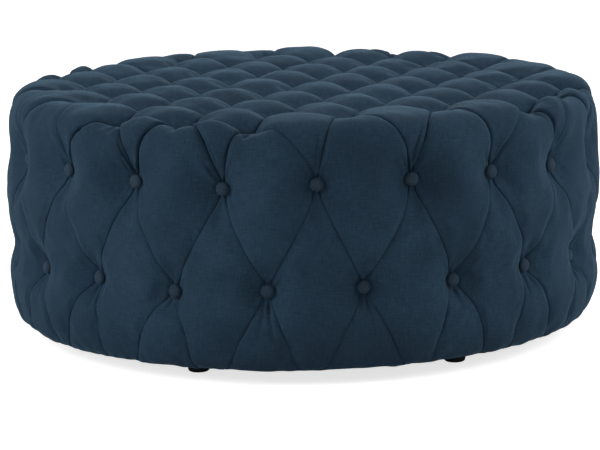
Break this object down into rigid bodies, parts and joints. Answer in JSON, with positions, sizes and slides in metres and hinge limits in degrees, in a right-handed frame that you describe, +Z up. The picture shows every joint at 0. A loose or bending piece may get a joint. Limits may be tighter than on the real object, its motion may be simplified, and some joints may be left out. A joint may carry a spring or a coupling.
{
  "type": "tufted ottoman coffee table",
  "caption": "Low round drum ottoman, padded and deep-buttoned all over in diamonds, on short round feet; a soft coffee table or footrest.",
  "frame": {"origin": "middle of the footprint, on the floor", "axes": "+Z up; the top's square button lattice runs along X and Y"},
  "size_m": [1.016, 1.016, 0.422],
  "materials": {
    "cover_cloth": "matt woven cloth with a fine slub, dark teal navy, over bonded fibre",
    "button_cloth": "the cover's cloth drawn tight over a domed former",
    "foam": "open-cell foam, pale yellow",
    "plywood": "sanded plywood",
    "panel_board": "hardboard, smooth side out",
    "softwood": "planed softwood",
    "dust_cloth": "black spun-bonded cloth",
    "foot_plastic": "black moulded plastic",
    "screw_steel": "zinc plated",
    "twine": "waxed nylon tufting twine"
  },
  "bodies": {
    "root": {"base_rail_lower": "softwood", "base_rail_upper": "softwood", "base_ring": "plywood", "deck_batten_back": "softwood", "deck_batten_front": "softwood", "deck_board": "plywood", "dust_cover": "dust_cloth", "foot_1": "foot_plastic", "foot_2": "foot_plastic", "foot_3": "foot_plastic", "foot_4": "foot_plastic", "foot_5": "foot_plastic", "foot_6": "foot_plastic", "foot_screws": "screw_steel", "lower_row_buttons": "button_cloth", "lower_row_twines": "twine", "post_1": "softwood", "post_2": "softwood", "post_3": "softwood", "post_4": "softwood", "post_5": "softwood", "post_6": "softwood", "post_7": "softwood", "post_8": "softwood", "side_foam": "foam", "side_panel": "panel_board", "top_field_buttons": "button_cloth", "top_field_twines": "twine", "top_foam": "foam", "top_rim_buttons": "button_cloth", "top_rim_twines": "twine", "tufted_cover": "cover_cloth", "upper_row_buttons": "button_cloth", "upper_row_twines": "twine"}
  },
  "joints": []
}
